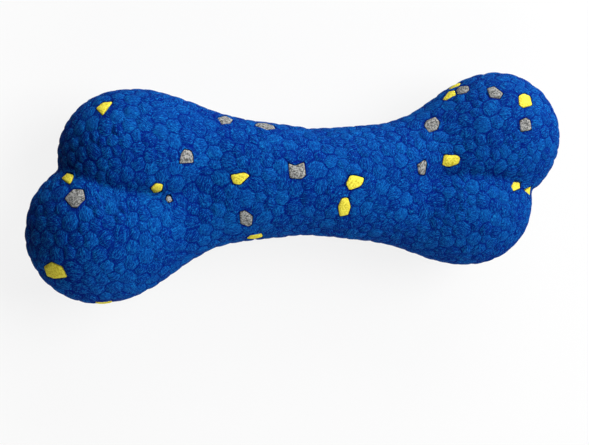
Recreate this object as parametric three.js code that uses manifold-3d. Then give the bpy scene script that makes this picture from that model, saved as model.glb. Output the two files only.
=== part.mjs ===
// A bone-shaped dog toy moulded from fused foam beads, in millimetres, +Z up.
// It lies flat on its four knuckles. X runs along the bone, and the origin is on the ground under its middle.
// Nearly all the beads are blue and make up the body. The yellow and grey ones sit in sockets of their own.

import * as THREE from 'three';
import { mergeVertices } from 'three/addons/utils/BufferGeometryUtils.js';
import Module from 'manifold-3d';

const wasm = await Module();
wasm.setup();

// The bone: two round bars fused side by side, each swelling into a knuckle at both of its ends.
// The leading bar goes from the far right to the near left, and the trailing bar the other way.
const KNUCKLE_REACH = 62.3; // mean distance of the knuckle centres from the bone's middle
const KNUCKLE_STAGGER = 4.9; // the leading bar reaches this much further, the trailing bar this much less
const KNUCKLE_OFFSET = 10.7; // knuckle centres from the long axis
const LEADING_KNUCKLE_RADIUS = 22;
const TRAILING_KNUCKLE_RADIUS = 20.8;
const LEADING_KNUCKLE_HEIGHT = 38.6; // the knuckles are a little flatter than they are wide
const TRAILING_KNUCKLE_HEIGHT = 37.2;
const WAIST_RADIUS = 17.3;
const BAR_TIP_RADIUS = 8; // what a bar thins to inside its knuckles
const TIP_THINNING = 2.8; // power of that thinning: most of it is close to the knuckle
const SIDE_NECK_LENGTH = 24.6; // length of the hollow between bar and knuckle on the bone's outer side
const TOP_NECK_LENGTH = 18.3; // the same above, below and towards the other bar
const LEADING_BEND = 2.4; // power of the leading bar's bend: it follows the axis, then turns off late
const TRAILING_BEND = 0.9; // the trailing bar crosses the axis in nearly a straight line
const CREASE_SOFTNESS = 1.5; // rounding of the valley between two knuckles
const REST_FLAT_DEPTH = 0.3; // how far each knuckle is flattened where it stands

// Blue beads: a packing that is laid in rows around the bone, shaken and left to settle.
const BLUE_BEAD_SPACING = 4.5;
const BLUE_BEAD_STRAY = 1.2; // how far a blue bead may be shaken from its place in its row, each way
const GROOVE_DEPTH = 0.35; // depth of the grooves between blue beads
const CROWDING_SHARE = 0.7; // a bead that comes nearer to a held one than this share of its room is left out
const SETTLING_ROUNDS = 16;
const SWAPPING_PASSES = 6; // how often, in each round, neighbours are chosen again
const SETTLING_SHARE = 0.3; // how far each round moves a bead towards the middle of its neighbours
const GIVING_SHARE = 0.3; // how far each round moves a bead out of the way of a crease or a held bead
const CREASE_STEEPNESS = 0.6; // where the bars meet more steeply, no blue bead lies across the crease
const PACKING_SEED = 7;

// Coloured beads and their sockets.
const BEAD_GRID = 0.5; // step of the grid on which the outlines of the upper beads are drawn
const BEAD_DEPTH = 3;
const BEAD_CLEARANCE = 0.3;
const BEAD_FLOOR_SHARE = 0.8; // width of a bead's floor against its face: close neighbours part below it
const PLAIN_BEAD_RADIUS = 2.5;
const PLAIN_BEAD_UNEVENNESS = 0.35; // how far a plain bead's corners lie in or out of its radius

const axisHeight = LEADING_KNUCKLE_HEIGHT / 2 - REST_FLAT_DEPTH;
const spineHalf = KNUCKLE_REACH - KNUCKLE_STAGGER;
const outerReach = KNUCKLE_REACH + KNUCKLE_STAGGER + LEADING_KNUCKLE_RADIUS;

// The trailing knuckles are smaller, so their centres lie lower, and all four stand on the same ground.
// A bar's squash is the width of its knuckles against their height.
const leadingBar = {
  reach: KNUCKLE_REACH + KNUCKLE_STAGGER,
  offset: KNUCKLE_OFFSET,
  drop: 0,
  radius: LEADING_KNUCKLE_RADIUS,
  squash: (2 * LEADING_KNUCKLE_RADIUS) / LEADING_KNUCKLE_HEIGHT,
  bend: LEADING_BEND,
};
const trailingBar = {
  reach: KNUCKLE_REACH - KNUCKLE_STAGGER,
  offset: -KNUCKLE_OFFSET,
  drop: (LEADING_KNUCKLE_HEIGHT - TRAILING_KNUCKLE_HEIGHT) / 2,
  radius: TRAILING_KNUCKLE_RADIUS,
  squash: (2 * TRAILING_KNUCKLE_RADIUS) / TRAILING_KNUCKLE_HEIGHT,
  bend: TRAILING_BEND,
};

const finishes = {
  blue: { color: 0x1b4fa8, roughness: 0.8, metalness: 0 },
  yellow: { color: 0xf3d81f, roughness: 0.75, metalness: 0 },
  grey: { color: 0x99928c, roughness: 0.8, metalness: 0 },
};

// Beads that show from above. A bead's place is a ray from the spine: it starts at a share of the spine's
// half length, points a number of degrees around the axis, from the +Y side over the top, and leans
// towards an end. The outline is in grid steps, seen from outside, with +Y away from the viewer.
const topBeads = [
  { color: 'yellow', along: -1, around: 21, lean: -15,
    outline: [[-5, 1], [-1, 5], [5, 4], [2, -2], [-1, -6]] },
  { color: 'yellow', along: -1, around: 57, lean: -60,
    outline: [[-4, 2], [-1, 5], [4, 1], [2, -5], [-1, -2]] },
  { color: 'yellow', along: -0.9, around: 85, lean: 0,
    outline: [[-4, 0], [-1, 3], [3, 2], [3, -2], [-1, -3]] },
  { color: 'yellow', along: -0.47, around: 79, lean: 0,
    outline: [[-5, 2], [3, 3], [6, 1], [0, -4], [-4, -3]] },
  { color: 'yellow', along: -1, around: 152, lean: -47,
    outline: [[-8, 1], [-1, 6], [6, 4], [8, -3], [-2, -6], [-8, -6]] },
  { color: 'yellow', along: 0.16, around: 91, lean: 0,
    outline: [[-6, -1], [-3, 4], [0, 4], [6, 2], [5, -1], [3, -3], [-4, -5]] },
  { color: 'yellow', along: 0.1, around: 117, lean: 0,
    outline: [[-2, 6], [2, 6], [4, 0], [3, -6], [-2, -7], [-4, 0]] },
  { color: 'yellow', along: 0.76, around: 74, lean: 0,
    outline: [[-5, 4], [0, 3], [3, 3], [5, 1], [4, -3], [-2, -5], [-6, -3]] },
  { color: 'yellow', along: 0.84, around: 11, lean: 0,
    outline: [[-5, -2], [0, 6], [4, 4], [4, -2], [-3, -4]] },
  { color: 'yellow', along: 0.91, around: 1, lean: 0,
    outline: [[-4, 2], [1, 4], [5, 2], [3, -4], [-3, -3]] },
  { color: 'yellow', along: 1, around: 36, lean: 24,
    outline: [[-3, 4], [2, 6], [6, 4], [5, -3], [-3, -5], [-5, -3]] },
  { color: 'yellow', along: 1, around: 109, lean: 28,
    outline: [[-5, 0], [-1, 3], [5, 2], [4, -1], [-4, -3]] },
  { color: 'yellow', along: 1, around: 123, lean: 49,
    outline: [[-7, 1], [3, 3], [1, -3]] },
  { color: 'yellow', along: -1, around: 173, lean: -18,
    outline: [[-5, 3], [4, 4], [5, -2], [0, -5], [-5, -2]] },
  { color: 'yellow', along: -0.36, around: 158, lean: 0,
    outline: [[-4, 3], [3, 4], [5, -1], [0, -5], [-5, -2]] },
  { color: 'grey', along: -1, around: 90, lean: -49,
    outline: [[-7, 2], [-2, 7], [4, 6], [5, 0], [2, -3], [0, -5], [-3, -4]] },
  { color: 'grey', along: -0.74, around: 58, lean: 0,
    outline: [[-5, -4], [-3, 2], [-1, 4], [3, 3], [4, 0], [4, -4]] },
  { color: 'grey', along: -0.84, around: 96, lean: 0,
    outline: [[-2, 0], [-1, 2], [1, 2], [2, -1], [-1, -2]] },
  { color: 'grey', along: -0.49, around: 20, lean: 0,
    outline: [[-5, 1], [3, 7], [6, 2], [2, -3], [-4, -4]] },
  { color: 'grey', along: -0.27, around: 18, lean: 0,
    outline: [[-7, -1], [-3, 4], [3, 5], [6, 0], [5, -5], [-2, -7]] },
  { color: 'grey', along: -0.16, around: 76, lean: 0,
    outline: [[-5, 5], [-1, 3], [5, 5], [5, -3], [2, -5], [-5, -4]] },
  { color: 'grey', along: -0.44, around: 125, lean: 0,
    outline: [[-4, 5], [-1, 6], [4, 2], [4, -5], [2, -6], [-3, -3]] },
  { color: 'grey', along: 0.68, around: 32, lean: 0,
    outline: [[-5, 0], [-3, 4], [3, 6], [5, 1], [3, -4], [-3, -6]] },
  { color: 'grey', along: 0.58, around: 80, lean: 0,
    outline: [[-4, 2], [2, 5], [3, 3], [2, -5], [-3, -4]] },
  { color: 'grey', along: 0.91, around: 14, lean: 0,
    outline: [[-4, 3], [-1, 6], [4, 3], [4, -2], [1, -4], [-4, -3]] },
  { color: 'grey', along: 1, around: 28, lean: 6,
    outline: [[-4, 5], [1, 6], [5, -1], [2, -5], [-4, -3]] },
  { color: 'grey', along: 1, around: 52, lean: 24,
    outline: [[-4, 2], [1, 4], [4, 2], [4, -4], [-4, -5]] },
];

// Beads of the ends and of the side that lies on the ground, scattered evenly, with plain outlines.
const undersideBeads = [
  { color: 'yellow', along: -1, around: 215, lean: -66 },
  { color: 'yellow', along: -1, around: 217, lean: -32 },
  { color: 'yellow', along: -1, around: 318, lean: -10 },
  { color: 'yellow', along: -0.7, around: 262, lean: 0 },
  { color: 'yellow', along: -0.58, around: 338, lean: 0 },
  { color: 'yellow', along: -0.32, around: 218, lean: 0 },
  { color: 'yellow', along: -0.1, around: 285, lean: 0 },
  { color: 'yellow', along: 0.14, around: 330, lean: 0 },
  { color: 'yellow', along: 0.27, around: 238, lean: 0 },
  { color: 'yellow', along: 0.53, around: 275, lean: 0 },
  { color: 'yellow', along: 0.67, around: 205, lean: 0 },
  { color: 'yellow', along: 0.85, around: 322, lean: 0 },
  { color: 'yellow', along: 1, around: 170, lean: 58 },
  { color: 'yellow', along: 1, around: 222, lean: 28 },
  { color: 'yellow', along: 1, around: 335, lean: 45 },
  { color: 'grey', along: -1, around: 330, lean: -52 },
  { color: 'grey', along: -1, around: 278, lean: -48 },
  { color: 'grey', along: -0.9, around: 222, lean: 0 },
  { color: 'grey', along: -0.78, around: 303, lean: 0 },
  { color: 'grey', along: -0.46, around: 290, lean: 0 },
  { color: 'grey', along: -0.16, around: 195, lean: 0 },
  { color: 'grey', along: 0.02, around: 250, lean: 0 },
  { color: 'grey', along: 0.36, around: 196, lean: 0 },
  { color: 'grey', along: 0.42, around: 312, lean: 0 },
  { color: 'grey', along: 0.75, around: 250, lean: 0 },
  { color: 'grey', along: 1, around: 195, lean: 8 },
  { color: 'grey', along: 1, around: 290, lean: 52 },
  { color: 'grey', along: 1, around: 12, lean: 68 },
];

// Smooth least of two distances: the two surfaces meet in a hollow of the given width.
function blendedLeast(a, b, width) {
  const share = THREE.MathUtils.clamp(0.5 + (0.5 * (b - a)) / width, 0, 1);
  return THREE.MathUtils.lerp(b, a, share) - width * share * (1 - share);
}

// Radius of the ball which comes out as a knuckle of the stated radius, once it is blended with a bar's tip.
function ballRadius(knuckleRadius, neck) {
  return BAR_TIP_RADIUS + 2 * Math.sqrt(neck * (knuckleRadius - BAR_TIP_RADIUS)) - neck;
}

// Signed distance, roughly, from a point to one of the two bars with its knuckles: below zero inside.
// Blending two bars of equal thickness adds a quarter of the blend's width, which the bar gives up here.
function barField(point, bar) {
  const end = point.x < 0 ? -1 : 1;
  const station = THREE.MathUtils.clamp(point.x, -bar.reach, bar.reach);
  const share = Math.abs(station) / bar.reach;
  const thinning = share ** TIP_THINNING;
  const thickest = WAIST_RADIUS - CREASE_SOFTNESS / 4;
  const radius = THREE.MathUtils.lerp(thickest, BAR_TIP_RADIUS, thinning);
  const sideways = point.y - end * bar.offset * share ** bar.bend;
  const upwards = (point.z + bar.drop * thinning) * THREE.MathUtils.lerp(1, bar.squash, thinning);
  const outwards = Math.max(0, sideways * end * Math.sign(bar.offset));
  const outerShare = outwards ** 2 / (sideways ** 2 + upwards ** 2 || 1);
  const neck = THREE.MathUtils.lerp(TOP_NECK_LENGTH, SIDE_NECK_LENGTH, outerShare);
  const shaft = Math.hypot(point.x - station, sideways, upwards) - radius;
  const toCentre = Math.hypot(
    point.x - end * bar.reach,
    point.y - end * bar.offset,
    (point.z + bar.drop) * bar.squash,
  );
  return blendedLeast(shaft, toCentre - ballRadius(bar.radius, neck), neck);
}

function boneField(point) {
  return blendedLeast(barField(point, leadingBar), barField(point, trailingBar), CREASE_SOFTNESS);
}

// Point where a ray from the spine leaves the bone, found by halving the stretch that it must lie in.
function surfacePoint(start, direction) {
  const halvings = 40;
  let inside = 0;
  let outside = 2 * (LEADING_KNUCKLE_RADIUS + KNUCKLE_OFFSET);
  const point = new THREE.Vector3();
  for (let count = 0; count < halvings; count += 1) {
    const middle = (inside + outside) / 2;
    point.copy(direction).multiplyScalar(middle).add(start);
    if (boneField(point) < 0) {
      inside = middle;
    } else {
      outside = middle;
    }
  }
  return point;
}

function slopeOf(field, point) {
  const step = 0.05;
  const rise = (axis) => field(point.clone().addScaledVector(axis, step))
    - field(point.clone().addScaledVector(axis, -step));
  const axes = [new THREE.Vector3(1, 0, 0), new THREE.Vector3(0, 1, 0), new THREE.Vector3(0, 0, 1)];
  return new THREE.Vector3(...axes.map(rise)).divideScalar(2 * step);
}

function surfaceNormal(point) {
  return slopeOf(boneField, point).normalize();
}

// Moves a point that is near the surface onto it.
function settleOnBone(point) {
  const rounds = 6;
  for (let round = 0; round < rounds; round += 1) {
    point.addScaledVector(surfaceNormal(point), -boneField(point));
  }
  return point;
}

// Point of the surface on a ray from the spine, with its angles in degrees.
function placeOnBone({ along, around, lean }) {
  const aroundAngle = THREE.MathUtils.degToRad(around);
  const leanAngle = THREE.MathUtils.degToRad(lean);
  const direction = new THREE.Vector3(
    Math.sin(leanAngle),
    Math.cos(leanAngle) * Math.cos(aroundAngle),
    Math.cos(leanAngle) * Math.sin(aroundAngle),
  );
  return surfacePoint(new THREE.Vector3(along * spineHalf, 0, 0), direction);
}

// Lowest point of a knuckle: from under its centre, downhill until the surface is level.
function lowestPoint(bar, end) {
  const down = new THREE.Vector3(0, 0, -1);
  const steps = 20;
  const start = new THREE.Vector3(end * bar.reach, end * bar.offset, 0);
  let point = surfacePoint(start, down);
  for (let step = 0; step < steps; step += 1) {
    const normal = surfaceNormal(point);
    start.x -= bar.radius * normal.x;
    start.y -= bar.radius * normal.y;
    point = surfacePoint(start, down);
  }
  return point;
}

function bareGeometry(geometry) {
  geometry.deleteAttribute('normal');
  geometry.deleteAttribute('uv');
  return mergeVertices(geometry);
}

function solidFrom(geometry) {
  const bare = bareGeometry(geometry);
  const corners = bare.index.array;
  const triangles = [];
  for (let i = 0; i < corners.length; i += 3) {
    const [a, b, c] = corners.slice(i, i + 3);
    if (a !== b && b !== c && c !== a) {
      triangles.push(a, b, c);
    }
  }
  return new wasm.Manifold(new wasm.Mesh({
    numProp: 3,
    vertProperties: bare.attributes.position.array,
    triVerts: new Uint32Array(triangles),
  }));
}

function geometryFrom(solid) {
  const mesh = solid.getMesh();
  const geometry = new THREE.BufferGeometry();
  geometry.setAttribute('position', new THREE.BufferAttribute(mesh.vertProperties, 3));
  geometry.setIndex(new THREE.BufferAttribute(mesh.triVerts, 1));
  geometry.computeVertexNormals();
  return geometry;
}

// A ring of blue beads around the bone, as the middles of evenly spaced beads.
function beadRow(along, lean) {
  const rays = 72;
  const widestTurn = 15;
  const turn = widestTurn * THREE.MathUtils.seededRandom();
  const ring = Array.from({ length: rays }, (_, ray) => (
    placeOnBone({ along, around: turn + (360 * ray) / rays, lean })
  ));
  const curve = new THREE.CatmullRomCurve3(ring, true);
  const count = Math.round(curve.getLength() / BLUE_BEAD_SPACING);
  return curve.getSpacedPoints(count).slice(0, count);
}

// All the rings from one end of the bone to the other, with a single bead at each end.
function beadRows() {
  const pitch = (BLUE_BEAD_SPACING * Math.sqrt(3)) / 2;
  const endArc = (Math.PI / 2) * (LEADING_KNUCKLE_RADIUS + KNUCKLE_OFFSET / 2);
  const endRows = Math.round(endArc / pitch);
  const spineRows = Math.round((2 * spineHalf) / pitch);
  const rows = [[placeOnBone({ along: -1, around: 0, lean: -90 })]];
  for (let row = 1; row < endRows; row += 1) {
    rows.push(beadRow(-1, 90 * (row / endRows - 1)));
  }
  for (let row = 0; row <= spineRows; row += 1) {
    rows.push(beadRow((2 * row) / spineRows - 1, 0));
  }
  for (let row = 1; row < endRows; row += 1) {
    rows.push(beadRow(1, (90 * row) / endRows));
  }
  rows.push([placeOnBone({ along: 1, around: 0, lean: 90 })]);
  return rows;
}

// Triangles between one ring and the next, each ring given as the numbers of its beads.
function zippedRows(row, next) {
  const rowSteps = row.length > 1 ? row.length : 0;
  const nextSteps = next.length > 1 ? next.length : 0;
  const triangles = [];
  let here = 0;
  let there = 0;
  while (here < rowSteps || there < nextSteps) {
    const start = row[here % row.length];
    const across = next[there % next.length];
    const rowLags = (here + 1) * nextSteps <= (there + 1) * rowSteps;
    if (there === nextSteps || (here < rowSteps && rowLags)) {
      here += 1;
      triangles.push([start, row[here % row.length], across]);
    } else {
      there += 1;
      triangles.push([start, next[there % next.length], across]);
    }
  }
  return triangles;
}

// For each edge of the triangles, in its direction: the triangle on its left and the third corner there.
function edgesOf(triangles) {
  const edges = new Map();
  triangles.forEach((corners, number) => corners.forEach((from, i) => {
    const to = corners[(i + 1) % 3];
    edges.set(`${from} ${to}`, { from, to, number, apex: corners[(i + 2) % 3] });
  }));
  return edges;
}

// Swaps the edge that two triangles share wherever the other diagonal makes them rounder, or turns one of
// them the right way out. One pass swaps edges that have no corner in common.
function rounderTriangles(triangles, points) {
  const edges = edgesOf(triangles);
  const rounder = [...triangles];
  const touched = new Set();
  const reach = (from, to) => points[to].clone().sub(points[from]);
  const angleAt = (corner, a, b) => reach(corner, a).angleTo(reach(corner, b));
  const facesOut = ([a, b, c]) => reach(a, b).cross(reach(a, c)).dot(surfaceNormal(points[a])) > 0;
  const facingOut = (pair) => pair.filter(facesOut).length;
  for (const { from, to, number, apex } of edges.values()) {
    const beyond = edges.get(`${to} ${from}`);
    const joined = edges.has(`${apex} ${beyond.apex}`) || edges.has(`${beyond.apex} ${apex}`);
    const corners = [from, to, apex, beyond.apex];
    const free = !joined && !corners.some((corner) => touched.has(corner));
    const pair = [[from, beyond.apex, apex], [beyond.apex, to, apex]];
    const gain = free ? facingOut(pair) - facingOut([triangles[number], triangles[beyond.number]]) : -1;
    const flat = angleAt(apex, from, to) + angleAt(beyond.apex, from, to) > Math.PI;
    if (gain > 0 || (gain === 0 && flat)) {
      [rounder[number], rounder[beyond.number]] = pair;
      corners.forEach((corner) => touched.add(corner));
    }
  }
  return rounder;
}

// Moves a bead's middle off the crease between two knuckles, to half a bead beside it.
function moveOffCrease(point) {
  const lead = (place) => barField(place, trailingBar) - barField(place, leadingBar);
  const slope = slopeOf(lead, point);
  const steepness = slope.length();
  const distance = lead(point) / steepness;
  const missing = BLUE_BEAD_SPACING / 2 - Math.abs(distance);
  if (steepness > CREASE_STEEPNESS && missing > 0) {
    point.addScaledVector(slope, (GIVING_SHARE * Math.sign(distance) * missing) / steepness);
  }
}

// The middles of all beads and the triangles between neighbours. A pin holds the nearest bead at its place,
// keeps the others clear of it and leaves out those that would crowd it.
function settledPacking(pins) {
  THREE.MathUtils.seededRandom(PACKING_SEED);
  const fullRows = beadRows();
  const shake = () => BLUE_BEAD_STRAY * (2 * THREE.MathUtils.seededRandom() - 1);
  for (const point of fullRows.flat()) {
    settleOnBone(point.add(new THREE.Vector3(shake(), shake(), shake())));
  }
  const held = new Map();
  for (const pin of pins) {
    const free = fullRows.flat().filter((point) => !held.has(point));
    const distances = free.map((point) => point.distanceTo(pin.place));
    held.set(free[distances.indexOf(Math.min(...distances))], pin);
  }
  const points = [];
  const rows = fullRows.map((row) => {
    const crowds = (point, pin) => point.distanceTo(pin.place) < CROWDING_SHARE * pin.clear;
    const roomy = (point) => !pins.some((pin) => crowds(point, pin));
    const kept = row.filter((point) => row.length === 1 || held.has(point) || roomy(point));
    return kept.map((point) => points.push(point) - 1);
  });
  held.forEach((pin, point) => point.copy(pin.place));
  let triangles = rows.slice(1).flatMap((row, i) => zippedRows(rows[i], row));
  for (let round = 0; round < SETTLING_ROUNDS; round += 1) {
    for (let pass = 0; pass < SWAPPING_PASSES; pass += 1) {
      triangles = rounderTriangles(triangles, points);
    }
    const sums = points.map(() => new THREE.Vector4(0, 0, 0, 0));
    for (const { from, to } of edgesOf(triangles).values()) {
      const { x, y, z } = points[to];
      sums[from].add(new THREE.Vector4(x, y, z, 1));
    }
    points.forEach((point, i) => {
      const { x, y, z, w } = sums[i];
      point.lerp(new THREE.Vector3(x, y, z).divideScalar(w), SETTLING_SHARE);
      moveOffCrease(point);
      for (const pin of pins) {
        const away = point.clone().sub(pin.place);
        const missing = pin.clear - away.length();
        if (missing > 0 && !held.has(point)) {
          point.add(away.setLength(GIVING_SHARE * missing));
        }
      }
      settleOnBone(point);
    });
    held.forEach((pin, point) => point.copy(pin.place));
  }
  return { points, triangles: rounderTriangles(triangles, points) };
}

// The whole bone before any socket: each bead is a low dome, a fan of facets from its middle to the grooves.
function beadedBone(pins) {
  const { points, triangles } = settledPacking(pins);
  const grooves = triangles.map((corners) => {
    const place = new THREE.Vector3();
    corners.forEach((corner) => place.addScaledVector(points[corner], 1 / 3));
    settleOnBone(place);
    return place.addScaledVector(surfaceNormal(place), -GROOVE_DEPTH);
  });
  const edges = edgesOf(triangles);
  const facets = [];
  for (const { from, to, number } of edges.values()) {
    const right = edges.get(`${to} ${from}`).number;
    facets.push(from, points.length + right, points.length + number);
  }
  const surface = new THREE.BufferGeometry().setFromPoints([...points, ...grooves]).setIndex(facets);
  const groundWidth = 3 * outerReach;
  const ground = new THREE.BoxGeometry(groundWidth, groundWidth, axisHeight)
    .translate(0, 0, -1.5 * axisHeight);
  return solidFrom(surface).subtract(solidFrom(ground));
}

// Outline of a plain bead: five or six corners, each a little in or out, different for every bead.
function plainOutline(number) {
  const fewestSides = 5;
  const cornerPhase = 2.4;
  const beadPhase = 1.7;
  const sides = fewestSides + (number % 2);
  return Array.from({ length: sides }, (_, corner) => {
    const angle = (2 * Math.PI * corner) / sides + number;
    const inOrOut = Math.cos(cornerPhase * corner + beadPhase * number);
    const radius = PLAIN_BEAD_RADIUS + PLAIN_BEAD_UNEVENNESS * inOrOut;
    return new THREE.Vector2(radius * Math.cos(angle), radius * Math.sin(angle));
  });
}

function drawnOutline(steps) {
  return steps.map(([x, y]) => new THREE.Vector2(x, y).multiplyScalar(BEAD_GRID));
}

function meanRadius(outline) {
  return outline.reduce((sum, corner) => sum + corner.length(), 0) / outline.length;
}

// The outline with every edge moved out by the same distance, and its corners where those edges meet.
function grownOutline(outline, distance) {
  const turn = Math.sign(THREE.ShapeUtils.area(outline));
  return outline.map((corner, i) => {
    const before = outline.at(i - 1);
    const after = outline[(i + 1) % outline.length];
    const arriving = corner.clone().sub(before).normalize();
    const leaving = after.clone().sub(corner).normalize();
    const outward = new THREE.Vector2(arriving.y + leaving.y, -arriving.x - leaving.x).multiplyScalar(turn);
    const reach = (2 * distance) / outward.lengthSq();
    return corner.clone().addScaledVector(outward, reach);
  });
}

// A bead or its socket: the outline, cut square to the surface at the bead's place. It narrows with depth.
function blankSolid(place, outline, depth, height) {
  const facing = new THREE.Quaternion().setFromUnitVectors(new THREE.Vector3(0, 0, 1), surfaceNormal(place));
  const shape = new THREE.Shape(outline);
  const blank = new THREE.ExtrudeGeometry(shape, { depth: depth + height, bevelEnabled: false })
    .translate(0, 0, -depth);
  const corners = blank.attributes.position;
  for (let i = 0; i < corners.count; i += 1) {
    const width = 1 + ((1 - BEAD_FLOOR_SHARE) * corners.getZ(i)) / depth;
    corners.setXY(i, width * corners.getX(i), width * corners.getY(i));
  }
  return solidFrom(blank.applyQuaternion(facing).translate(place.x, place.y, place.z));
}

function namedMesh(name, solid, finish) {
  const mesh = new THREE.Mesh(geometryFrom(solid), new THREE.MeshStandardMaterial(finish));
  mesh.name = name;
  return mesh;
}

// All the geometry is made around the bone's long axis, which this group lifts to its height.
const dogBone = new THREE.Group();
dogBone.position.z = axisHeight;

const beads = [
  ...topBeads.map((bead) => ({ ...bead, outline: drawnOutline(bead.outline) })),
  ...undersideBeads.map((bead, number) => ({ ...bead, outline: plainOutline(number) })),
].map((bead) => ({ ...bead, place: placeOnBone(bead) }));
const beadPins = beads.map(({ place, outline }) => ({
  place,
  clear: meanRadius(outline) + BLUE_BEAD_SPACING / 2,
}));
const restPins = [leadingBar, trailingBar].flatMap((bar) => [-1, 1].map((end) => ({
  place: lowestPoint(bar, end),
  clear: BLUE_BEAD_SPACING,
})));
const made = { yellow: 0, grey: 0 };
let body = beadedBone([...beadPins, ...restPins]);
let sockets;

for (const bead of beads) {
  const blank = blankSolid(bead.place, bead.outline, BEAD_DEPTH, 0);
  const clear = sockets ? blank.subtract(sockets) : blank;
  const socketOutline = grownOutline(bead.outline, BEAD_CLEARANCE);
  const socket = blankSolid(bead.place, socketOutline, BEAD_DEPTH + BEAD_CLEARANCE, 2 * BEAD_DEPTH);
  sockets = sockets ? sockets.add(socket) : socket;
  body = body.subtract(socket);
  made[bead.color] += 1;
  const name = `${bead.color}_bead_${String(made[bead.color]).padStart(2, '0')}`;
  dogBone.add(namedMesh(name, clear, finishes[bead.color]));
}

dogBone.add(namedMesh('blue_bead_body', body, finishes.blue));

export default dogBone;
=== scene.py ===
"""A bone-shaped dog toy of fused foam beads, laid out as a Blender add-on and run as a script.

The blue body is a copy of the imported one, with every bead rounded into a dome. The yellow and grey beads
sit in its sockets. All lengths are in metres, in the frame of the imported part.
"""

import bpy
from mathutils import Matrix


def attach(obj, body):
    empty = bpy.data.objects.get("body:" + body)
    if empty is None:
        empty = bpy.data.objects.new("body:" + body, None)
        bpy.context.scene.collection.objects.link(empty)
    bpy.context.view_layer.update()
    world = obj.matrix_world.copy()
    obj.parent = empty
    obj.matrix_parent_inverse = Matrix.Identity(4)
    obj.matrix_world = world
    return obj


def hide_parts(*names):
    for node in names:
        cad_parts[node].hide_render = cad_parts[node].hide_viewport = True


bl_info = {
    "name": "Bead-foam dog bone",
    "version": (1, 0, 0),
    "blender": (4, 5, 0),
    "location": "3D View > Sidebar > Dog bone",
    "description": "Builds the beads, finishes and studio of a bone-shaped foam dog toy",
    "category": "Object",
}

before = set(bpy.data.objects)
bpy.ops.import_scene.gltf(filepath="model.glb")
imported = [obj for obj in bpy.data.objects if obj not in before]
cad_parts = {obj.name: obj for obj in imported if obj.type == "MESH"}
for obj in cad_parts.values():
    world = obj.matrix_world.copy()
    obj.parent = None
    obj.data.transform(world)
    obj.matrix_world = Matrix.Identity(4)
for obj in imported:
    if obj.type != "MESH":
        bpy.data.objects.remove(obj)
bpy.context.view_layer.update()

import math

import bmesh
import bpy
import numpy as np
from bpy.props import FloatProperty, FloatVectorProperty, IntProperty, PointerProperty
from mathutils import Euler, Matrix, Vector, kdtree, noise

MM = 0.001
BODY_NODE = "blue_bead_body"
BODY_PIECE = "blue_beads"
MERGE_DISTANCE = 0.002 * MM

# Above which crown a corner counts as a bead's top, and below which one as a groove
TOP_CROWN = 0.97
GROOVE_CROWN = 0.02

# The crown that marks a socket's floor, and how many grooves deep a corner has to lie for it
SOCKET_FLOOR = -1.0
SOCKET_DEPTH = 2.0

# How finely the meshes are cut
BEAD_CUTS = 3
FACE_RINGS = 6
CORNER_SEGMENTS = 3
FLOOR_SEGMENTS = 96

# The middle of a noise or of a bead's tone, which both run from 0 to 1
MIDDLE = 0.5

SOFTBOXES = ("key", "back", "front", "left")


def length(title, about, millimetres):
    """A length property, given in millimetres."""
    return FloatProperty(
        name=title, description=about, default=millimetres * MM, unit="LENGTH", precision=5)


def point(title, about, *millimetres):
    """A place property, given in millimetres."""
    return FloatVectorProperty(
        name=title, description=about, default=[value * MM for value in millimetres],
        unit="LENGTH", subtype="TRANSLATION")


def angle(title, about, degrees):
    """An angle property, given in degrees."""
    return FloatProperty(name=title, description=about, default=math.radians(degrees), subtype="ANGLE")


def number(title, about, value):
    """A plain number that isn't below zero."""
    return FloatProperty(name=title, description=about, default=value, min=0.0)


def span(title, about, low, high):
    """Two levels between which something fades in."""
    return FloatVectorProperty(name=title, description=about, default=(low, high), size=2, min=0.0)


def color(title, about, *rgb):
    return FloatVectorProperty(
        name=title, description=about, default=rgb, subtype="COLOR", size=3, min=0.0, max=1.0)


def power(title, about, watts):
    return FloatProperty(name=title, description=about, default=watts, unit="POWER")


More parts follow.
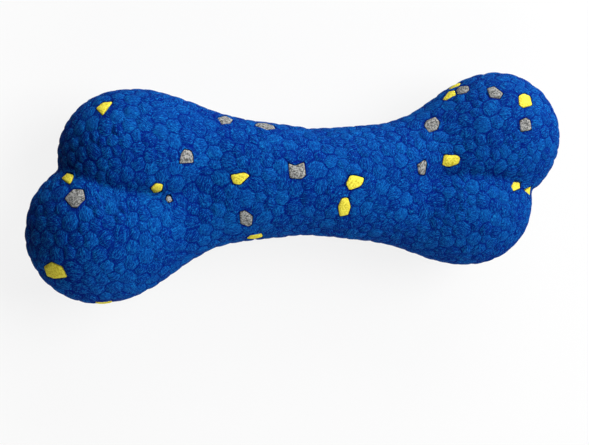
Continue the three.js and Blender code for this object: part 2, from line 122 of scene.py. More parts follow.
class BoneSizes(bpy.types.PropertyGroup):
    """The bone: two bars fused side by side, each with a knuckle at both ends."""

    knuckle_reach: length("Knuckle reach", "Mean distance of the knuckle centres from the middle", 62.3)
    knuckle_stagger: length("Knuckle stagger", "How much further the leading bar reaches", 4.9)
    knuckle_offset: length("Knuckle offset", "Knuckle centres from the long axis", 10.7)
    leading_radius: length("Leading knuckles", "Radius of the knuckles that reach furthest", 22.0)
    trailing_radius: length("Trailing knuckles", "Radius of the other two knuckles", 20.8)
    leading_height: length("Leading height", "Height of the knuckles that reach furthest", 38.6)
    trailing_height: length("Trailing height", "Height of the other two knuckles", 37.2)
    rest_flat: length("Rest flat", "How far each knuckle is flattened where it stands", 0.3)
    waist_radius: length("Waist", "Radius of the bone at its middle", 17.3)
    tip_radius: length("Bar tip", "What a bar thins to inside its knuckles", 8.0)
    tip_thinning: number("Tip thinning", "Power of a bar's thinning towards its tips", 2.8)
    leading_bend: number("Leading bend", "Power of the leading bar's bend", 2.4)
    trailing_bend: number("Trailing bend", "Power of the trailing bar's bend", 0.9)
    side_neck: length("Side neck", "Length of the hollow between bar and knuckle on the outer side", 24.6)
    top_neck: length("Top neck", "Length of that hollow above, below and towards the other bar", 18.3)
    neck_dip: length("Neck dip", "How much deeper the beads lie above and below the necks", 1.9)
    neck_setback: length("Neck setback", "How far before the knuckle centres they lie deepest", 23.5)
    neck_turn: length("Neck turn", "Over what width this place passes from bar to bar", 8.0)
    neck_width: length("Neck width", "How far along the bone, each way, they lie deeper", 7.0)
    crease_softness: length("Crease softness", "Rounding of the valley between two knuckles", 1.5)
    crease_depth: length("Crease depth", "How much deeper the beads lie along that valley", 2.0)
    crease_width: length("Crease width", "How far from the valley's line they dip towards it", 1.0)
    crease_place: length("Crease place", "Where they lie deepest, from the bone's middle", 54.0)
    crease_reach: length("Crease reach", "How far along the valley, each way, they lie deeper", 18.0)


class BeadSizes(bpy.types.PropertyGroup):
    """The foam beads and the grooves between them."""

    groove_depth: length("Groove depth", "How far the grooves lie below the bone's surface", 0.35)
    groove_change: number("Groove change", "How much that depth changes along a groove", 0.5)
    change_width: length("Change width", "Width of the waves of that change", 4.4)
    crown_rise: length("Crown rise", "How far the middle of a bead may stand out", 0.12)
    crown_sink: number("Crown sink", "How far it may lie below the surface, against that rise", 0.6)
    roundness: number("Roundness", "Power of a bead's dome: higher is flatter with steeper edges", 3.2)
    wander: length("Wander", "How far the grooves stray from straight lines", 0.5)
    wander_width: length("Wander width", "Width of the waves of a groove", 2.2)
    pit_depth: length("Pit depth", "Depth of the voids left where three beads meet", 0.35)
    pit_least: number("Least pit", "Depth of the shallowest void, against the deepest", 0.3)
    pit_share: number("Pit share", "How many of those places have a void", 0.12)
    ripple: length("Ripple", "Height of the uneven skin of a bead", 0.06)
    ripple_width: length("Ripple width", "Width of the uneven skin's waves", 1.1)
    grain_drift: length("Grain drift", "Over what width the grain of the blue beads turns", 25.0)
    grain_spread: number("Grain spread", "How far the grain of a bead strays from that", 0.4)
    face_spread: length("Face spread", "How far a yellow or grey bead has swollen in its socket", 0.04)
    corner_radius: length("Corner radius", "Rounding of the corners of a yellow or grey bead", 0.5)
    rim_drop: length("Rim drop", "How far the rim of a yellow or grey bead lies below its face", 0.3)
    face_roundness: number("Face roundness", "Power of that drop: higher is flatter", 5.0)
    thickness: length("Thickness", "Thickness of a yellow or grey bead", 1.6)
    floor_share: number("Floor share", "Width of a packed bead's floor against its face", 0.8)
    floor_slack: length("Floor slack", "How uneven a packed bead's floor may be", 0.4)
    base_share: number("Base share", "Width of a yellow or grey bead's base against its face", 0.86)
    seed: IntProperty(name="Seed", description="Which random draws are used", default=7, min=1)


class Finishes(bpy.types.PropertyGroup):
    """Colours of the foam and of the floor."""

    blue_light: color("Light blue", "Raised wrinkles of the blue beads", 0.003, 0.126, 0.44)
    # The pale blue is partly a painted highlight and partly the foam's own paler streaks, laid on the tops
    # of the sharpest ridges; nothing there is worn.
    painted_highlight_blue: color("Pale blue", "Worn tops of the sharpest blue wrinkles", 0.012, 0.27, 0.62)
    # The deep blue is the dark of the wrinkles and also the painted shade of the grooves.
    blue_deep: color("Deep blue", "Grooves and wrinkles of the blue beads", 0.0, 0.009, 0.16)
    yellow: color("Yellow", "Face of the yellow beads", 0.86, 0.77, 0.085)
    yellow_deep: color("Deep yellow", "Wrinkles of the yellow beads", 0.5, 0.38, 0.014)
    grey: color("Grey", "Raised wrinkles of the grey beads", 0.36, 0.36, 0.35)
    grey_deep: color("Deep grey", "Wrinkles of the grey beads", 0.06, 0.06, 0.058)
    floor: color("Floor", "The pale floor", 0.9, 0.9, 0.9)


class FoamSkin(bpy.types.PropertyGroup):
    """Wrinkles and tones of the foam. A scale is the number of wrinkles in a metre."""

    streak_scale: number("Streak scale", "Streaks on the blue beads", 2300.0)
    streak_stretch: number("Streak stretch", "How far they are drawn out along the grain", 0.8)
    streak_detail: number("Streak detail", "Finer layers of the streaks", 1.0)
    ridge_width: number("Ridge width", "Width of the raised line along a streak", 0.055)
    fine_scale: number("Fine scale", "Fine wrinkles on the blue beads", 3400.0)
    fine_stretch: number("Fine stretch", "How far they are drawn out along the grain", 0.5)
    # Painted shade: the next three darken the grooves between blue beads in colour, within random patches.
    shade_patch_scale: number("Patch scale", "Patches in which the grooves look dark", 160.0)
    shade_patch_span: span("Patch span", "Levels between which such a patch begins", 0.25, 0.65)
    groove_shade_span: span("Groove span", "Crowns between which the dark of a groove ends", 0.0, 0.18)
    # Painted highlight, partly the foam's own paler streaks: the next two turn the sharpest ridges pale.
    highlight_span: span("Stroke span", "Fine wrinkles between which a ridge turns pale", 0.48, 0.68)
    highlight_strength: number("Stroke light", "How pale such a ridge turns", 0.6)
    blue_level: number("Blue level", "Lightness of the blue skin between its ridges", 0.17)
    ridge_light: number("Ridge light", "How much lighter a ridge is", 0.8)
    fine_light: number("Fine light", "How much the fine wrinkles change the lightness", 1.7)
    tone_light: number("Tone light", "How much the tone of a bead changes the lightness", 0.3)
    # Painted shade: how much darker the grooves are painted.
    painted_groove_shade: number("Groove dark", "How much darker a groove is", 0.7)
    blue_polish: number("Blue polish", "How much smoother the lightest blue is", 0.1)
    blue_lift: length("Blue lift", "Height of the wrinkles on the blue beads", 0.06)
    yellow_scale: number("Yellow scale", "Wrinkles on the yellow beads", 2400.0)
    yellow_span: span("Yellow span", "Levels between which they turn light", 0.28, 0.62)
    grey_scale: number("Grey scale", "Wrinkles on the grey beads", 2000.0)
    grey_span: span("Grey span", "Levels between which they turn light", 0.36, 0.64)
    plain_stretch: number("Plain stretch", "How far yellow and grey wrinkles are drawn out", 0.3)
    plain_polish: number("Plain polish", "How much smoother the lightest yellow and grey are", 0.2)
    plain_lift: length("Plain lift", "Height of the wrinkles on yellow and grey beads", 0.25)
    detail: number("Detail", "Finer layers of all wrinkles but the streaks", 3.0)
    layer_share: number("Layer share", "Strength of each finer layer against the one before", 0.6)
    distortion: number("Distortion", "How far the wrinkles are bent", 0.4)
    bump: number("Bump", "Strength of the wrinkles in the light", 0.8)
    roughness: number("Roughness", "Roughness of the deepest wrinkles", 0.8)
    shine: number("Shine", "Strength of the highlights", 0.03)


class StageSizes(bpy.types.PropertyGroup):
    """Camera, floor and light. A softbox's turn is from +X towards +Y, and its rise from the floor."""

    camera_place: point("Camera", "Where the camera stands", -102.0, 11.59, 324.92)
    camera_aim: point("Aim", "The point at the middle of the picture", -5.74, -12.71, 19.0)
    camera_turn: angle("Turn", "How far the picture is turned from the Y axis", 3.26)
    camera_lens: FloatProperty(name="Lens", description="Focal length", default=61.47, unit="CAMERA")
    camera_near: length("Near", "How near to the camera things are still seen", 10.0)
    floor_radius: length("Floor radius", "Radius of the floor", 3000.0)
    floor_gap: length("Floor gap", "How far the floor lies below the bone's resting plane", 0.05)
    floor_glow: number("Floor glow", "Light of the floor's own, as on a light table", 0.93)
    floor_shade: number("Floor shade", "How much of the softboxes' light and shadow it shows", 0.12)
    floor_roughness: number("Floor roughness", "Roughness of the floor", 0.9)
    backdrop: number("Backdrop", "How bright the surroundings look behind the floor", 0.9)
    ambient: number("Ambient", "Strength of the light from all around", 0.04)
    softbox_size: length("Softbox size", "Width of each softbox", 800.0)
    softbox_distance: length("Softbox distance", "How far each softbox stands from the bone", 1000.0)
    key_power: power("Key power", "Power of the softbox on the right", 14.0)
    key_turn: angle("Key turn", "Turn of the softbox on the right", 18.0)
    key_rise: angle("Key rise", "Rise of the softbox on the right", 47.0)
    back_power: power("Back power", "Power of the low softbox behind", 12.5)
    back_turn: angle("Back turn", "Turn of the low softbox behind", 75.0)
    back_rise: angle("Back rise", "Rise of the low softbox behind", 15.0)
    front_power: power("Front power", "Power of the low softbox in front", 7.5)
    front_turn: angle("Front turn", "Turn of the low softbox in front", 270.0)
    front_rise: angle("Front rise", "Rise of the low softbox in front", 15.0)
    left_power: power("Left power", "Power of the weak fill on the left", 1.0)
    left_turn: angle("Left turn", "Turn of the weak fill on the left", 185.0)
    left_rise: angle("Left rise", "Rise of the weak fill on the left", 10.0)


class DogBone(bpy.types.PropertyGroup):
    """Everything that a user of the bone would change."""

    bone: PointerProperty(type=BoneSizes)
    beads: PointerProperty(type=BeadSizes)
    finishes: PointerProperty(type=Finishes)
    skin: PointerProperty(type=FoamSkin)
    stage: PointerProperty(type=StageSizes)


def unit_rows(rows):
    """Each row of an array as a direction of length 1."""
    return rows / np.linalg.norm(rows, axis=1, keepdims=True)


class Bone:
    """The bone's surface as a formula on arrays of points."""

    SETTLE_ROUNDS = 6
    SLOPE_STEP = 0.05 * MM

    def __init__(self, sizes):
        self.sizes = sizes
        self.axis_height = sizes.leading_height / 2.0 - sizes.rest_flat

    @staticmethod
    def blended_least(a, b, width):
        """Smooth least of two distances: the two surfaces meet in a hollow of the given width."""
        part = np.clip(0.5 + 0.5 * (b - a) / width, 0.0, 1.0)
        return b + (a - b) * part - width * part * (1.0 - part)

    def bar(self, x, y, z, lead):
        """Distance, roughly, to the leading (1) or trailing (-1) bar and its knuckles: below zero inside."""
        sizes = self.sizes
        reach = sizes.knuckle_reach + lead * sizes.knuckle_stagger
        offset = lead * sizes.knuckle_offset
        radius = sizes.leading_radius if lead > 0 else sizes.trailing_radius
        height = sizes.leading_height if lead > 0 else sizes.trailing_height
        bend = sizes.leading_bend if lead > 0 else sizes.trailing_bend
        drop = (sizes.leading_height - height) / 2.0
        squash = 2.0 * radius / height
        end = np.where(x < 0.0, -1.0, 1.0)
        # The bar bends towards its knuckles and thins inside them
        station = np.clip(x, -reach, reach)
        part = np.abs(station) / reach
        thinning = part ** sizes.tip_thinning
        # Two equal bars that blend gain a quarter of the blend's width
        thickest = sizes.waist_radius - sizes.crease_softness / 4.0
        thickness = thickest + (sizes.tip_radius - thickest) * thinning
        sideways = y - end * offset * part ** bend
        upwards = (z + drop * thinning) * (1.0 + (squash - 1.0) * thinning)
        # The hollow before a knuckle is longer on the outer side
        outwards = np.maximum(0.0, sideways * end * lead)
        across = np.maximum(sideways ** 2 + upwards ** 2, MERGE_DISTANCE ** 2)
        neck = sizes.top_neck + (sizes.side_neck - sizes.top_neck) * outwards ** 2 / across
        # The knuckle and the bar's tip inside it blend into a ball of the knuckle's radius
        ball = sizes.tip_radius + 2.0 * np.sqrt(neck * (radius - sizes.tip_radius)) - neck
        shaft = np.sqrt((x - station) ** 2 + sideways ** 2 + upwards ** 2) - thickness
        from_centre = np.sqrt(
            (x - end * reach) ** 2 + (y - end * offset) ** 2 + ((z + drop) * squash) ** 2)
        return self.blended_least(shaft, from_centre - ball, neck)

    def both_bars(self, points):
        x, y, z = points[:, 0], points[:, 1], points[:, 2] - self.axis_height
        return self.bar(x, y, z, 1), self.bar(x, y, z, -1)

    def field(self, points):
        """Distance, roughly, to the bone's surface: below zero inside."""
        return self.blended_least(*self.both_bars(points), self.sizes.crease_softness)

    def lead(self, points):
        """How much nearer to the leading bar the points are than to the trailing one."""
        leading, trailing = self.both_bars(points)
        return trailing - leading

    def dips(self, points):
        """How far the beads dip at the necks and where two knuckles meet."""
        return self.neck_dip(points) + self.crease_dip(points)

    def neck_dip(self, points):
        """How far they dip above and below a neck, a set distance before its knuckle."""
        sizes = self.sizes
        x, y, z = points[:, 0], points[:, 1], points[:, 2] - self.axis_height
        upright = z ** 2 / np.maximum(y ** 2 + z ** 2, MERGE_DISTANCE ** 2)
        side = np.tanh(np.sign(x) * y / sizes.neck_turn)
        place = sizes.knuckle_reach + side * sizes.knuckle_stagger - sizes.neck_setback
        away = (np.abs(x) - place) / sizes.neck_width
        return sizes.neck_dip * upright * np.exp(-away ** 2)

    def crease_dip(self, points):
        """How far they dip along the valley between two knuckles."""
        sizes = self.sizes
        steepness = np.linalg.norm(self.slopes(self.lead, points), axis=1)
        away = np.abs(self.lead(points)) / steepness
        beyond = np.abs(np.abs(points[:, 0]) - sizes.crease_place) / sizes.crease_reach
        part = np.clip(1.0 - beyond ** 2, 0.0, 1.0)
        return sizes.crease_depth * part * np.exp(-away / sizes.crease_width)

    def slopes(self, form, points):
        """How fast a form of this class grows along each axis."""
        axes = np.eye(3) * self.SLOPE_STEP
        changes = [form(points + axis) - form(points - axis) for axis in axes]
        return np.stack(changes, 1) / (2.0 * self.SLOPE_STEP)

    def normals(self, points):
        return unit_rows(self.slopes(self.field, points))

    def settle(self, points):
        """The points moved onto the surface."""
        for _ in range(self.SETTLE_ROUNDS):
            slopes = self.slopes(self.field, points)
            away = self.field(points) / np.einsum("ij,ij->i", slopes, slopes)
            points = points - slopes * away[:, None]
        return points


def places(verts):
    return np.array([v.co for v in verts])


def put(verts, points):
    for v, place in zip(verts, points):
        v.co = place


def tree_of(verts):
    """A search tree that finds the nearest of some corners and says which one it is."""
    tree = kdtree.KDTree(len(verts))
    for index, v in enumerate(verts):
        tree.insert(v.co, index)
    tree.balance()
    return tree


def noise_heights(points, width):
    """A smooth noise from -1 to 1, with waves of a width."""
    return np.array([noise.noise(Vector(p) / width) for p in points])


def noise_ways(points, width):
    """A smooth noise of directions, with waves of a width."""
    return np.array([noise.noise_vector(Vector(p) / width) for p in points])


class ColoredSocket:
    """Where a yellow or grey bead sits: its middle, axes and outline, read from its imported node."""

    # How near to the Y axis a normal may point before the face's own axes are taken from X
    STEEPEST = 0.9

    # Decimals to which the corners of a packed bead's floor are told apart
    DECIMALS = 7

    def __init__(self, node, bone, sizes):
        points = np.array([v.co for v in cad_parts[node].data.vertices])
        self.place = bone.settle(points.mean(axis=0)[None])[0]
        self.up = bone.normals(self.place[None])[0]
        crosswise = (0.0, 1.0, 0.0) if abs(self.up[1]) < self.STEEPEST else (1.0, 0.0, 0.0)
        self.right = unit_rows(np.cross(crosswise, self.up)[None])[0]
        self.far = np.cross(self.up, self.right)
        heights = points @ self.up
        floor = points[heights < heights.min() + sizes.floor_slack]
        corners = np.unique(np.round(self.flat(floor), self.DECIMALS), axis=0)
        away = corners - corners.mean(axis=0)
        turns = np.arctan2(away[:, 1], away[:, 0])
        order = np.argsort(turns)
        self.outline = corners.mean(axis=0) + away[order] / sizes.floor_share
        self.centre = self.raised(self.outline.mean(axis=0)[None])[0]

    def flat(self, points):
        """Points in the plane of the bead's face."""
        away = points - self.place
        return np.stack([away @ self.right, away @ self.far], 1)

    def raised(self, flat):
        """Points of that plane, back in space."""
        return self.place + np.outer(flat[:, 0], self.right) + np.outer(flat[:, 1], self.far)

    def grown(self, spread):
        """The outline with its corners moved out from its middle."""
        return self.outline + unit_rows(self.outline - self.outline.mean(axis=0)) * spread


def in_socket(face, crown_layer):
    return any(v[crown_layer] == SOCKET_FLOOR for v in face.verts)


def merged_body(bone, sizes):
    """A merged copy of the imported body. A corner's crown is 1 on top of a bead and 0 in a groove."""
    bm = bmesh.new()
    bm.from_mesh(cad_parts[BODY_NODE].data)
    crown_layer = bm.verts.layers.float.new("crown")
    bm.verts.layers.float.new("pit")
    bm.faces.layers.int.new("bead")
    bm.faces.layers.float.new("tone")
    bm.faces.layers.float_vector.new("grain")
    bmesh.ops.remove_doubles(bm, verts=bm.verts[:], dist=MERGE_DISTANCE)
    points = places(bm.verts)
    depths = np.linalg.norm(points - bone.settle(points), axis=1) / sizes.groove_depth
    for v, depth in zip(bm.verts, depths):
        v[crown_layer] = SOCKET_FLOOR if depth > SOCKET_DEPTH else max(0.0, 1.0 - depth)
    return bm


def bead_looks(crowns, bone, sizes, chance):
    """A tone for each bead, and a grain along the surface, much like the grain of the beads around it."""
    points = places(crowns)
    tones = chance.random(len(points))
    grains = unit_rows(noise_ways(points, sizes.grain_drift))
    grains += chance.normal(0.0, sizes.grain_spread, points.shape)
    normals = bone.normals(points)
    grains -= normals * np.einsum("ij,ij->i", grains, normals)[:, None]
    return tones, unit_rows(grains)


def mark_beads(bm, bone, sizes, chance):
    """Tells each facet of the skin its bead, tone and grain, and draws where the voids are."""
    crown_layer = bm.verts.layers.float["crown"]
    pit_layer = bm.verts.layers.float["pit"]
    bead_layer = bm.faces.layers.int["bead"]
    tone_layer = bm.faces.layers.float["tone"]
    grain_layer = bm.faces.layers.float_vector["grain"]
    skin = [f for f in bm.faces if not in_socket(f, crown_layer)]
    rims = {v for f in bm.faces if in_socket(f, crown_layer) for v in f.verts}
    crowns = [v for v in bm.verts if v[crown_layer] > TOP_CROWN and v not in rims]
    beads = {v: bead for bead, v in enumerate(crowns)}
    tree = tree_of(crowns)
    tones, grains = bead_looks(crowns, bone, sizes, chance)
    for face in skin:
        own = [beads[v] for v in face.verts if v in beads]
        bead = own[0] if own else tree.find(face.calc_center_median())[1]
        face[bead_layer] = bead
        face[tone_layer] = tones[bead]
        face[grain_layer] = grains[bead]
    for v in bm.verts:
        in_groove = 0.0 <= v[crown_layer] < GROOVE_CROWN and v not in rims
        if in_groove and chance.random() < sizes.pit_share:
            v[pit_layer] = chance.uniform(sizes.pit_least, 1.0)


def round_beads(bm, bone, sizes, chance):
    """Gives every bead its dome, lets the grooves wander and roughens the skin."""
    crown_layer = bm.verts.layers.float["crown"]
    pit_layer = bm.verts.layers.float["pit"]
    bead_layer = bm.faces.layers.int["bead"]
    verts = [v for v in bm.verts if v[crown_layer] != SOCKET_FLOOR]
    rims = [v for v in verts if any(in_socket(f, crown_layer) for f in v.link_faces)]
    tree = tree_of(rims)
    points = places(verts)
    clear = np.clip(np.array([tree.find(p)[2] for p in points]) / sizes.wander_width, 0.0, 1.0)
    stray = noise_ways(points, sizes.wander_width) * (sizes.wander * clear)[:, None]
    points = bone.settle(points + stray)
    normals = bone.normals(points)
    crown = np.array([v[crown_layer] for v in verts])
    pit = np.array([v[pit_layer] for v in verts])
    bead = np.array([max(f[bead_layer] for f in v.link_faces) for v in verts])
    rise = sizes.crown_rise * chance.uniform(-sizes.crown_sink, 1.0, bead.max() + 1)[bead]
    dome = 1.0 - (1.0 - crown) ** sizes.roundness
    change = sizes.groove_change * noise_heights(points, sizes.change_width)
    groove = sizes.groove_depth * (1.0 + change)
    ripple = sizes.ripple * noise_heights(points, sizes.ripple_width) * crown
    height = (groove + rise) * dome - groove + ripple - sizes.pit_depth * pit - bone.dips(points)
    points = points + normals * height[:, None]
    points[:, 2] = np.maximum(points[:, 2], 0.0)
    put(verts, points)


def body_mesh(settings):
    """The blue beads as one closed mesh, with an open socket for each yellow and grey bead."""
    sizes = settings.beads
    bone = Bone(settings.bone)
    chance = np.random.default_rng(sizes.seed)
    # Without a seed the noise of directions starts from the clock
    noise.seed_set(sizes.seed)
    bm = merged_body(bone, sizes)
    mark_beads(bm, bone, sizes, chance)
    crown_layer = bm.verts.layers.float["crown"]
    outer = [e for e in bm.edges if all(v[crown_layer] != SOCKET_FLOOR for v in e.verts)]
    bmesh.ops.subdivide_edges(bm, edges=outer, cuts=BEAD_CUTS, use_grid_fill=True)
    round_beads(bm, bone, sizes, chance)
    for face in bm.faces:
        face.smooth = True
    for edge in bm.edges:
        edge.smooth = len({in_socket(f, crown_layer) for f in edge.link_faces}) == 1
    return bm


def bead_block(socket, sizes):
    """A bead's closed block: a flat face with rounded corners, cut into rings, over a narrower base."""
    bm = bmesh.new()
    bm.faces.layers.float_vector.new("grain")
    crown_layer = bm.verts.layers.float.new("crown")
    corners = [bm.verts.new(corner) for corner in socket.raised(socket.grown(sizes.face_spread))]
    bm.faces.new(corners)
    bmesh.ops.bevel(
        bm, geom=corners, affect="VERTICES", offset=sizes.corner_radius, segments=CORNER_SEGMENTS,
        profile=0.5, material=-1)
    bm.faces.ensure_lookup_table()
    cover = bm.faces[0]
    grown = bmesh.ops.extrude_face_region(bm, geom=[cover], use_keep_orig=True)["geom"]
    base = [v for v in grown if isinstance(v, bmesh.types.BMVert)]
    to_centre = Matrix.Translation(-Vector(socket.centre))
    bmesh.ops.scale(bm, verts=base, vec=(sizes.base_share,) * 3, space=to_centre)
    bmesh.ops.translate(bm, verts=base, vec=Vector(socket.up) * -sizes.thickness)
    for v in base:
        v[crown_layer] = SOCKET_FLOOR
    middle = bmesh.ops.poke(bm, faces=[cover])["verts"][0]
    middle[crown_layer] = 1.0
    bmesh.ops.subdivide_edges(bm, edges=middle.link_edges[:], cuts=FACE_RINGS)
    return bm


def colored_bead(socket, bone, sizes, grain):
    """A bead with a nearly flat face and a rounded rim, which narrows into its socket."""
    bm = bead_block(socket, sizes)
    crown_layer = bm.verts.layers.float["crown"]
    grain_layer = bm.faces.layers.float_vector["grain"]
    verts = [v for v in bm.verts if v[crown_layer] != SOCKET_FLOOR]
    crown = np.array([v[crown_layer] for v in verts])
    # The rings move outwards, so that they lie closer together near the rim
    points = socket.centre + (places(verts) - socket.centre) * (1.0 + crown)[:, None]
    points = bone.settle(points)
    rim = (1.0 - crown ** 2) ** sizes.face_roundness
    ripple = sizes.ripple * noise_heights(points, sizes.ripple_width) * (1.0 - rim)
    height = ripple - sizes.rim_drop * rim - bone.dips(points)
    put(verts, points + bone.normals(points) * height[:, None])
    bmesh.ops.recalc_face_normals(bm, faces=bm.faces[:])
    for face in bm.faces:
        face.smooth = True
        face[grain_layer] = grain
    return bm


def finished_piece(bm, name, material):
    """A mesh object at the origin, made from a bmesh."""
    mesh = bpy.data.meshes.new(name)
    bm.to_mesh(mesh)
    bm.free()
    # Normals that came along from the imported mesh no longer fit
    stale = mesh.attributes.get("custom_normal")
    if stale:
        mesh.attributes.remove(stale)
    mesh.materials.append(material)
    piece = bpy.data.objects.new(name, mesh)
    bpy.context.scene.collection.objects.link(piece)
    return piece


class Value:
    """A shader socket. Arithmetic on it adds Math nodes."""

    def __init__(self, nodes, socket):
        self.nodes = nodes
        self.socket = socket

    def math(self, operation, first, second):
        return self.nodes.node("ShaderNodeMath", {"operation": operation}, {0: first, 1: second})

    def __add__(self, other):
        return self.math("ADD", self, other)

    def __radd__(self, other):
        return self.math("ADD", other, self)

    def __sub__(self, other):
        return self.math("SUBTRACT", self, other)

    def __rsub__(self, other):
        return self.math("SUBTRACT", other, self)

    def __mul__(self, other):
        return self.math("MULTIPLY", self, other)

    def __rmul__(self, other):
        return self.math("MULTIPLY", other, self)

    def __abs__(self):
        return self.math("ABSOLUTE", self, 0.0)


class NodeTree:
    """A tree of shader nodes that are added by one method."""

    def __init__(self, tree):
        self.tree = tree

    def node(self, kind, settings, sockets, output=0):
        """Adds a node with its settings, then its socket values or links, and gives one output."""
        made = self.tree.nodes.new(kind)
        for name, value in settings.items():
            setattr(made, name, value)
        self.feed(made, sockets)
        return Value(self, made.outputs[output])

    def feed(self, made, sockets):
        for name, value in sockets.items():
            if isinstance(value, Value):
                self.tree.links.new(value.socket, made.inputs[name])
            else:
                made.inputs[name].default_value = value

    def attribute(self, name, output="Fac"):
        return self.node("ShaderNodeAttribute", {"attribute_name": name}, {}, output)

    def ramp(self, value, low, high):
        """0 below low, 1 above high, smooth between them."""
        settings = {"interpolation_type": "SMOOTHSTEP"}
        return self.node("ShaderNodeMapRange", settings, {0: value, 1: low, 2: high, 3: 0.0, 4: 1.0})

    def mix(self, part, first, second):
        """A colour between two."""
        settings = {"data_type": "RGBA"}
        return self.node("ShaderNodeMix", settings, {0: part, 6: first, 7: second}, output=2)

    def vector(self, operation, sockets, output="Vector"):
        return self.node("ShaderNodeVectorMath", {"operation": operation}, sockets, output)


class Finish(NodeTree):
    """The nodes of a material, around its shader."""

    def __init__(self, name):
        self.material = bpy.data.materials.new(name)
        self.material.use_nodes = True
        super().__init__(self.material.node_tree)
        self.shader = self.tree.nodes["Principled BSDF"]


class FoamFinish(Finish):
    """A finish of bead foam, wrinkled along the grain of each bead."""

    def __init__(self, name, skin):
        super().__init__(name)
        self.skin = skin
        self.grain = self.attribute("grain", "Vector")

    def wrinkles(self, scale, stretch, detail):
        """Fine wrinkles, drawn out along the grain."""
        place = self.node("ShaderNodeTexCoord", {}, {}, "Object")
        along = self.vector("DOT_PRODUCT", {0: place, 1: self.grain}, "Value")
        shift = self.vector("SCALE", {0: self.grain, "Scale": along * stretch})
        drawn = self.vector("SUBTRACT", {0: place, 1: shift})
        return self.node("ShaderNodeTexNoise", {"noise_dimensions": "3D"}, {
            "Vector": drawn, "Scale": scale, "Detail": detail,
            "Roughness": self.skin.layer_share, "Distortion": self.skin.distortion})

    def lines(self, wrinkle, width):
        """Thin ridges along the middle level of the wrinkles."""
        return 1.0 - self.ramp(abs(wrinkle - MIDDLE), 0.0, width)

    def close(self, base, roughness, height, lift):
        """Feeds the shader: colour, roughness and the bump of the skin."""
        sockets = {"Height": height, "Distance": lift, "Strength": self.skin.bump}
        bump = self.node("ShaderNodeBump", {}, sockets, "Normal")
        self.feed(self.shader, {
            "Base Color": base, "Roughness": roughness, "Normal": bump,
            "Specular IOR Level": self.skin.shine})
        return self.material


def opaque(rgb):
    return (*rgb, 1.0)


def blue_foam(settings):
    """Royal blue bead foam: grooves darkened by painted shade, streaky wrinkles whose sharpest ridges turn
    pale, partly as painted highlight, and a tone of its own for each bead.
    """
    skin = settings.skin
    colors = settings.finishes
    finish = FoamFinish("blue_bead_foam", skin)
    streaks = finish.wrinkles(skin.streak_scale, skin.streak_stretch, skin.streak_detail)
    ridge = finish.lines(streaks, skin.ridge_width)
    fine = finish.wrinkles(skin.fine_scale, skin.fine_stretch, skin.detail)
    # Painted shade: the grooves are darkened in colour, but only within random patches.
    groove = 1.0 - finish.ramp(finish.attribute("crown"), *skin.groove_shade_span)
    shade_patch = finish.ramp(finish.wrinkles(skin.shade_patch_scale, 0.0, skin.detail), *skin.shade_patch_span)
    groove_shade_mask = groove * shade_patch
    light = skin.blue_level + skin.ridge_light * ridge + skin.fine_light * (fine - MIDDLE)
    light = light + skin.tone_light * (finish.attribute("tone") - MIDDLE) - skin.painted_groove_shade * groove_shade_mask
    # Painted highlight, partly the foam's own paler streaks: sharp ridges outside the painted groove shade
    # turn pale blue.
    highlight_stroke = ridge * finish.ramp(fine, *skin.highlight_span) * (1.0 - groove_shade_mask)
    base = finish.mix(light, opaque(colors.blue_deep), opaque(colors.blue_light))
    base = finish.mix(skin.highlight_strength * highlight_stroke, base, opaque(colors.painted_highlight_blue))
    return finish.close(base, skin.roughness - skin.blue_polish * light, ridge + fine, skin.blue_lift)


def plain_foam(name, skin, face, deep, scale, levels):
    """Foam of one colour, with a fine wrinkled grain."""
    finish = FoamFinish(name, skin)
    wrinkle = finish.wrinkles(scale, skin.plain_stretch, skin.detail)
    light = finish.ramp(wrinkle, *levels)
    base = finish.mix(light, opaque(deep), opaque(face))
    return finish.close(base, skin.roughness - skin.plain_polish * light, wrinkle, skin.plain_lift)


def yellow_foam(settings):
    skin = settings.skin
    colors = settings.finishes
    return plain_foam(
        "yellow_bead_foam", skin, colors.yellow, colors.yellow_deep, skin.yellow_scale, skin.yellow_span)


def grey_foam(settings):
    skin = settings.skin
    colors = settings.finishes
    return plain_foam(
        "grey_bead_foam", skin, colors.grey, colors.grey_deep, skin.grey_scale, skin.grey_span)


def add_colored_beads(settings, hue, material):
    """One piece for each packed bead of a colour."""
    sizes = settings.beads
    bone = Bone(settings.bone)
    chance = np.random.default_rng(sizes.seed + 1)
    nodes = sorted(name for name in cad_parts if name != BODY_NODE)
    for node in nodes:
        grain = Vector(chance.normal(size=3)).normalized()
        if not node.startswith(hue):
            continue
        bm = colored_bead(ColoredSocket(node, bone, sizes), bone, sizes, grain)
        piece = finished_piece(bm, node.replace("_bead_", "_foam_bead_"), material)
        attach(piece, "root")
        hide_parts(node)


class DOGBONE_OT_blue_beads(bpy.types.Operator):
    """Build the blue beads of the body, with their grooves and sockets"""

    bl_idname = "dogbone.blue_beads"
    bl_label = "Blue beads"

    def execute(self, context):
        settings = context.scene.dog_bone
        piece = finished_piece(body_mesh(settings), BODY_PIECE, blue_foam(settings))
        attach(piece, "root")
        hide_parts(BODY_NODE)
        return {"FINISHED"}


class DOGBONE_OT_yellow_beads(bpy.types.Operator):
    """Build the yellow beads in their sockets"""

    bl_idname = "dogbone.yellow_beads"
    bl_label = "Yellow beads"

    def execute(self, context):
        settings = context.scene.dog_bone
        add_colored_beads(settings, "yellow", yellow_foam(settings))
        return {"FINISHED"}


class DOGBONE_OT_grey_beads(bpy.types.Operator):
    """Build the grey beads in their sockets"""

    bl_idname = "dogbone.grey_beads"
    bl_label = "Grey beads"

    def execute(self, context):
        settings = context.scene.dog_bone
        add_colored_beads(settings, "grey", grey_foam(settings))
        return {"FINISHED"}


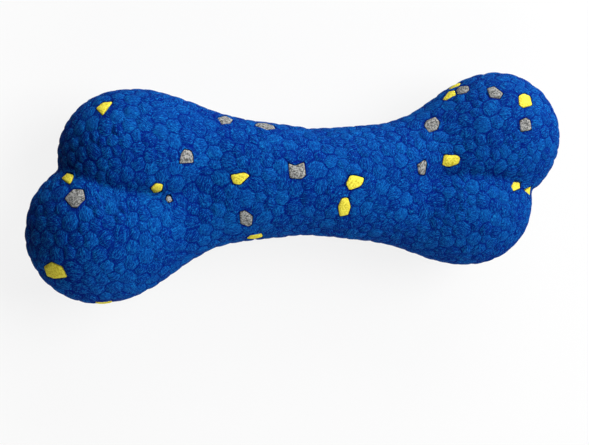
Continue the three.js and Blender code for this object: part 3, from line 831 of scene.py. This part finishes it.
def add_camera(stage):
    """A camera at its place, aimed at the middle of the picture."""
    place = Vector(stage.camera_place)
    look = (Vector(stage.camera_aim) - place).normalized()
    hint = Vector((math.sin(stage.camera_turn), math.cos(stage.camera_turn), 0.0))
    right = look.cross(hint).normalized()
    up = right.cross(look)
    camera = bpy.data.objects.new("camera", bpy.data.cameras.new("camera"))
    camera.data.lens = stage.camera_lens
    camera.data.clip_start = stage.camera_near
    turn = Matrix((right, up, -look)).transposed().to_4x4()
    camera.matrix_world = Matrix.Translation(place) @ turn
    bpy.context.scene.collection.objects.link(camera)
    bpy.context.scene.camera = camera


def add_softbox(stage, name):
    """A softbox that faces the origin, with the power, turn and rise that the stage has for it."""
    lamp = bpy.data.lights.new(f"{name}_softbox", "AREA")
    lamp.shape = "SQUARE"
    lamp.size = stage.softbox_size
    lamp.energy = getattr(stage, f"{name}_power")
    softbox = bpy.data.objects.new(f"{name}_softbox", lamp)
    turns = Euler((0.0, -getattr(stage, f"{name}_rise"), getattr(stage, f"{name}_turn")))
    away = turns.to_matrix() @ Vector((stage.softbox_distance, 0.0, 0.0))
    facing = away.to_track_quat("Z", "Y").to_matrix().to_4x4()
    softbox.matrix_world = Matrix.Translation(away) @ facing
    bpy.context.scene.collection.objects.link(softbox)


def add_floor(stage, finishes):
    """A pale floor that glows like a light table, for faint shadows, and that doesn't light the bone."""
    bm = bmesh.new()
    place = Matrix.Translation((0.0, 0.0, -stage.floor_gap))
    bmesh.ops.create_circle(
        bm, cap_ends=True, segments=FLOOR_SEGMENTS, radius=stage.floor_radius, matrix=place)
    finish = Finish("pale_floor")
    finish.feed(finish.shader, {
        "Base Color": opaque(stage.floor_shade * part for part in finishes.floor),
        "Roughness": stage.floor_roughness, "Specular IOR Level": 0.0,
        "Emission Color": opaque(finishes.floor), "Emission Strength": stage.floor_glow})
    floor = finished_piece(bm, "floor", finish.material)
    floor.visible_diffuse = False


def add_world(stage):
    """A dim light from all around, which looks pale behind the floor."""
    world = bpy.data.worlds.new("studio")
    world.use_nodes = True
    nodes = NodeTree(world.node_tree)
    seen = nodes.node("ShaderNodeLightPath", {}, {}, "Is Camera Ray")
    strength = seen * (stage.backdrop - stage.ambient) + stage.ambient
    nodes.feed(nodes.tree.nodes["Background"], {"Color": (1.0, 1.0, 1.0, 1.0), "Strength": strength})
    bpy.context.scene.world = world


class DOGBONE_OT_stage(bpy.types.Operator):
    """Set up the camera, the pale floor and the soft studio light"""

    bl_idname = "dogbone.stage"
    bl_label = "Studio"

    def execute(self, context):
        settings = context.scene.dog_bone
        add_camera(settings.stage)
        add_floor(settings.stage, settings.finishes)
        add_world(settings.stage)
        for name in SOFTBOXES:
            add_softbox(settings.stage, name)
        context.scene.view_settings.view_transform = "Standard"
        return {"FINISHED"}


class DOGBONE_PT_panel(bpy.types.Panel):
    """Lists the steps that build the dog bone"""

    bl_idname = "DOGBONE_PT_panel"
    bl_label = "Dog bone"
    bl_space_type = "VIEW_3D"
    bl_region_type = "UI"
    bl_category = "Dog bone"

    def draw(self, context):
        for operator in OPERATORS:
            self.layout.operator(operator.bl_idname)


OPERATORS = (DOGBONE_OT_stage, DOGBONE_OT_blue_beads, DOGBONE_OT_yellow_beads, DOGBONE_OT_grey_beads)
CLASSES = (BoneSizes, BeadSizes, Finishes, FoamSkin, StageSizes, DogBone, *OPERATORS, DOGBONE_PT_panel)


def register():
    for cls in CLASSES:
        bpy.utils.register_class(cls)
    bpy.types.Scene.dog_bone = PointerProperty(type=DogBone)


def unregister():
    del bpy.types.Scene.dog_bone
    for cls in reversed(CLASSES):
        bpy.utils.unregister_class(cls)


def main():
    register()
    bpy.ops.dogbone.stage()
    bpy.ops.dogbone.blue_beads()
    bpy.ops.dogbone.yellow_beads()
    bpy.ops.dogbone.grey_beads()


if __name__ == "__main__":
    main()
